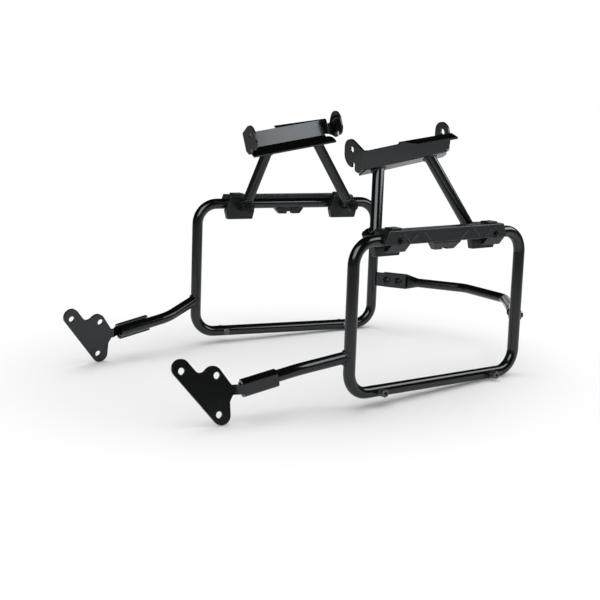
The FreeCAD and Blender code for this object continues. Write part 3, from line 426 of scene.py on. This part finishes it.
def floor_paint():
    """Pale matte floor, which keeps the shadow near the set and is an even white further away; far off its
    paint turns to a painted shade of grey that the tubes mirror.
    """
    material, tree, shader = new_material("floor_paint")
    place = object_place(tree)
    away = vector_node(tree, "LENGTH", place).outputs["Value"]
    plain = tint(tree, noise(tree, "cloud", place, FLOOR_CLOUD), FLOOR_WHITE, FLOOR_SHADES)
    # The far floor's grey is a painted shade.
    far_shade = fade(tree, away, FLOOR_PAINTED_SHADE_FROM, FLOOR_PAINTED_SHADE_FULL)
    tree.links.new(toward(tree, far_shade, plain, FLOOR_PAINTED_SHADE), shader.inputs["Base Color"])
    shader.inputs["Roughness"].default_value = FLOOR_ROUGHNESS
    shader.inputs["Specular IOR Level"].default_value = FLOOR_GLOSS
    white = shade(tree, "white", "ShaderNodeEmission", Color=ROOM_WHITE, Strength=FULL_WHITE)
    share = white_share(tree, place, away)
    whole = mixed(tree, share, shader.outputs["BSDF"], white.outputs["Emission"])
    tree.links.new(whole, tree.nodes["Material Output"].inputs["Surface"])
    return material


SLOT_MATERIALS = {
    "black_coat": powder_coat(),
    "moulded_plastic": moulded_plastic(),
    "dark_fastener": plated_steel("dark_fastener", FASTENER_GREY),
}
PEG_STEEL = plated_steel("peg_steel", PEG_GREY)


def dress(node_name, slot):
    """Gives a CAD node the material of its slot."""
    node = nodes[node_name]
    node.data.materials.clear()
    node.data.materials.append(SLOT_MATERIALS[slot])


def merged_copy(node_name):
    """Copy of a CAD node's mesh with its split corners joined."""
    copy = bmesh.new()
    copy.from_mesh(nodes[node_name].data)
    bmesh.ops.remove_doubles(copy, verts=copy.verts, dist=SAME_CORNER)
    return copy


def sharp_neighbours(mesh):
    """For each corner on a sharp edge, the corners at the other ends of its sharp edges."""
    beside = {}
    for edge in mesh.edges:
        if len(edge.link_faces) == 2 and edge.calc_face_angle() > SEAM_SHARP:
            first, second = edge.verts
            beside.setdefault(first, []).append(second)
            beside.setdefault(second, []).append(first)
    return beside


def sharp_rings(mesh):
    """Closed rings of sharp edges, each as a list of points in order."""
    beside = sharp_neighbours(mesh)
    rings = []
    seen = set()
    for start in beside:
        ring = []
        here = start
        while here is not None and here not in seen and len(beside[here]) == 2:
            seen.add(here)
            ring.append(here.co.copy())
            here = next((other for other in beside[here] if other not in seen), None)
        if len(ring) > SEAM_POINTS:
            rings.append(ring)
    return rings


def ring_sides(ring):
    """Pairs of neighbouring points once round a ring."""
    return list(zip(ring, ring[1:] + ring[:1]))


def ring_length(ring):
    """Length once round a ring."""
    return sum((a - b).length for a, b in ring_sides(ring))


def even_ring(ring):
    """The ring's points again at even steps, a whole number of ripples round it."""
    length = ring_length(ring)
    count = BEAD_RIPPLE_STEPS * round(length / BEAD_STEP / BEAD_RIPPLE_STEPS)
    points = []
    gone = 0.0
    for a, b in ring_sides(ring):
        side = (b - a).length
        while len(points) < count and length * len(points) / count <= gone + side:
            points.append(a.lerp(b, (length * len(points) / count - gone) / side))
        gone += side
    return points


def widest_gap(surface, ring):
    """Greatest distance of a ring's points from a surface."""
    gaps = []
    for point in ring:
        place, normal, face, gap = surface.find_nearest(point)
        gaps.append(gap)
    return max(gaps)


def seam_points(tube, carrier):
    """Even points round the end of a tube that lies on the node that carries it."""
    target = merged_copy(carrier)
    surface = BVHTree.FromBMesh(target)
    end = merged_copy(tube)
    near = [ring for ring in sharp_rings(end) if widest_gap(surface, ring) < SEAM_NEAR]
    target.free()
    end.free()
    return even_ring(max(near, key=ring_length))


def weld_bead(name, tube, carrier):
    """Rippled bead along the seam where a tube's end meets the node that carries it."""
    points = seam_points(tube, carrier)
    data = bpy.data.curves.new(name, "CURVE")
    data.dimensions = "3D"
    data.bevel_depth = BEAD_R
    data.bevel_resolution = BEAD_ROUNDNESS
    spline = data.splines.new("POLY")
    spline.points.add(len(points) - 1)
    spline.use_cyclic_u = True
    for index, (point, place) in enumerate(zip(spline.points, points)):
        point.co = (*place, 1)
        point.radius = 1 + BEAD_RIPPLE * math.cos(math.tau * index / BEAD_RIPPLE_STEPS)
    data.materials.append(SLOT_MATERIALS["black_coat"])
    bead = bpy.data.objects.new(name, data)
    bpy.context.scene.collection.objects.link(bead)
    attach(bead, "root")


def turned_peg(mesh, mount):
    """Adds one turned peg with a rounded rim and a drilled end to a mesh, on the axis of its mount."""
    axis = Vector(mount["axis"])
    zero = Vector(mount["pos_m"]) - axis * PEG_MIDDLE
    outline = [mesh.verts.new((radius, 0, height)) for radius, height in PEG_PROFILE]
    edges = [mesh.edges.new(pair) for pair in zip(outline, outline[1:])]
    bmesh.ops.spin(mesh, geom=outline + edges, cent=(0, 0, 0), axis=(0, 0, 1), dvec=(0, 0, 0),
                   angle=math.tau, steps=PEG_STEPS, use_merge=True, use_duplicate=False)
    place = Matrix.Translation(zero) @ axis.to_track_quat("Z", "Y").to_matrix().to_4x4()
    fresh = [vert for vert in mesh.verts if vert.tag is False]
    bmesh.ops.transform(mesh, matrix=place, verts=fresh)
    for vert in fresh:
        vert.tag = True


def peg_mesh(side):
    """Mesh of both pegs of a rack."""
    mesh = bmesh.new()
    for mount in frame["record"]["mounts"]:
        if mount["name"] in (f"front_peg_{side}", f"rear_peg_{side}"):
            turned_peg(mesh, mount)
    bmesh.ops.remove_doubles(mesh, verts=mesh.verts, dist=SAME_CORNER)
    bmesh.ops.recalc_face_normals(mesh, faces=mesh.faces)
    data = bpy.data.meshes.new(f"turned_pegs_{side}")
    mesh.to_mesh(data)
    mesh.free()
    for face in data.polygons:
        face.use_smooth = True
    data.set_sharp_from_angle(angle=PEG_SHARP)
    return data


def peg_pair(side):
    """Both pegs of a rack, shown in place of their plain CAD node."""
    data = peg_mesh(side)
    data.materials.append(PEG_STEEL)
    pair = bpy.data.objects.new(f"turned_pegs_{side}", data)
    bpy.context.scene.collection.objects.link(pair)
    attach(pair, "root")
    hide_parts(f"lower_pegs_{side}")


def finish_rack(side):
    """Weld beads and pegs of one rack."""
    for tube, carrier in SEAMS.items():
        weld_bead(f"weld_{tube}_{side}", f"{tube}_{side}", f"{carrier}_{side}")
    peg_pair(side)
    for end in ("front", "rear"):
        weld_bead(f"weld_{end}_bush_{side}", f"{end}_strut_{side}", f"{end}_bush_{side}")


def floor_plane():
    """Floor that the set stands on: it touches the foot plates' tips and the loops' rear bottom bends."""
    plate_low, plate_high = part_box("front_plate_left")
    tip = Vector((plate_high.x - PLATE_TIP_AHEAD, 0, plate_low.z))
    heel = Vector((loop_high.x - LOOP_BEND - TUBE_R, 0, loop_low.z))
    slope = (heel.z - tip.z) / (heel.x - tip.x)
    middle = (cad_box[0].x + cad_box[1].x) / 2 + FLOOR_ASIDE[0]
    under = Vector((middle, FLOOR_ASIDE[1], tip.z + slope * (middle - tip.x)))
    bpy.ops.mesh.primitive_plane_add(size=FLOOR_SIZE)
    plane = bpy.context.object
    plane.name = "floor"
    plane.matrix_world = Matrix.Translation(under) @ Matrix.Rotation(-math.atan(slope), 4, "Y")
    plane.data.materials.append(floor_paint())


def mirrored_room(tree):
    """How bright the room is in mirrors: white low down behind the set, and dark above."""
    direction = tree.nodes.new("ShaderNodeTexCoord").outputs["Generated"]
    parts = tree.nodes.new("ShaderNodeSeparateXYZ")
    tree.links.new(direction, parts.inputs["Vector"])
    low = fade(tree, parts.outputs["Z"], ROOM_WHITE_BELOW, ROOM_DARK_ABOVE, 1.0, 0.0)
    backdrop = fade(tree, sight_depth(tree, direction), BACKDROP_EDGE, BACKDROP_FULL, ROOM_FRONT)
    return product(tree, low, backdrop)


def studio_world():
    """White room to the camera, the mirrored room in gloss, and a dim one to the rest."""
    world = bpy.data.worlds.new("studio")
    bpy.context.scene.world = world
    world.use_nodes = True
    tree = world.node_tree
    tree.nodes.clear()
    seen = shade(tree, "seen", "ShaderNodeBackground", Color=ROOM_WHITE, Strength=FULL_WHITE)
    mirrored = shade(tree, "mirrored", "ShaderNodeBackground", Color=ROOM_WHITE)
    unseen = shade(tree, "unseen", "ShaderNodeBackground", Color=ROOM_WHITE, Strength=ROOM_DIM)
    tree.links.new(mirrored_room(tree), mirrored.inputs["Strength"])
    mirror_rays = seen_rays(tree, MIRROR_RAYS)
    light = mixed(tree, mirror_rays, unseen.outputs["Background"], mirrored.outputs["Background"])
    whole = mixed(tree, seen_rays(tree, CAMERA_RAYS), light, seen.outputs["Background"])
    output = tree.nodes.new("ShaderNodeOutputWorld")
    tree.links.new(whole, output.inputs["Surface"])


def softbox(name, azimuth, elevation, distance, width, height, roll, power):
    """Rectangular lamp that faces the set, placed by direction as seen from its middle."""
    middle = (cad_box[0] + cad_box[1]) / 2
    turn = math.radians(azimuth)
    rise = math.radians(elevation)
    away = Vector((math.sin(turn) * math.cos(rise), -math.cos(turn) * math.cos(rise), math.sin(rise)))
    data = bpy.data.lights.new(name, "AREA")
    data.shape = "RECTANGLE"
    data.size = width
    data.size_y = height
    data.energy = power
    lamp = bpy.data.objects.new(name, data)
    lamp.location = middle + away * distance
    lamp.rotation_mode = "QUATERNION"
    facing = (-away).to_track_quat("-Z", "Y")
    lamp.rotation_quaternion = facing @ Quaternion((0, 0, 1), math.radians(roll))
    bpy.context.scene.collection.objects.link(lamp)
    return lamp


def studio_lights():
    """A soft lamp above the floor, and two panels on the camera's side that the tubes mirror."""
    lamp = softbox("lamp", *LAMP, LAMP_POWER)
    lamp.visible_glossy = False
    for name, place in PANELS.items():
        width, height = place[3:5]
        panel = softbox(name, *place, PANEL_RADIANCE * math.pi * width * height)
        panel.visible_camera = False
        panel.visible_diffuse = False


def photo_camera():
    """Camera at the photograph's place and lens."""
    data = bpy.data.cameras.new("camera")
    data.sensor_width = SENSOR
    data.lens = CAMERA_LENS
    data.shift_x, data.shift_y = CAMERA_SHIFT
    data.clip_start = CAMERA_NEAREST
    data.clip_end = CAMERA_FARTHEST
    camera = bpy.data.objects.new("camera", data)
    turn = Matrix((CAMERA_RIGHT, CAMERA_UP, CAMERA_BACK)).transposed().to_4x4()
    camera.matrix_world = Matrix.Translation(ZERO + CAMERA_PLACE) @ turn
    bpy.context.scene.collection.objects.link(camera)
    bpy.context.scene.camera = camera


for entry in frame["record"]["subparts"]:
    dress(entry["node"], entry["material_slot"])
for rack_side in ("left", "right"):
    finish_rack(rack_side)
floor_plane()
studio_world()
studio_lights()
photo_camera()
bpy.context.scene.view_settings.view_transform = "Standard"
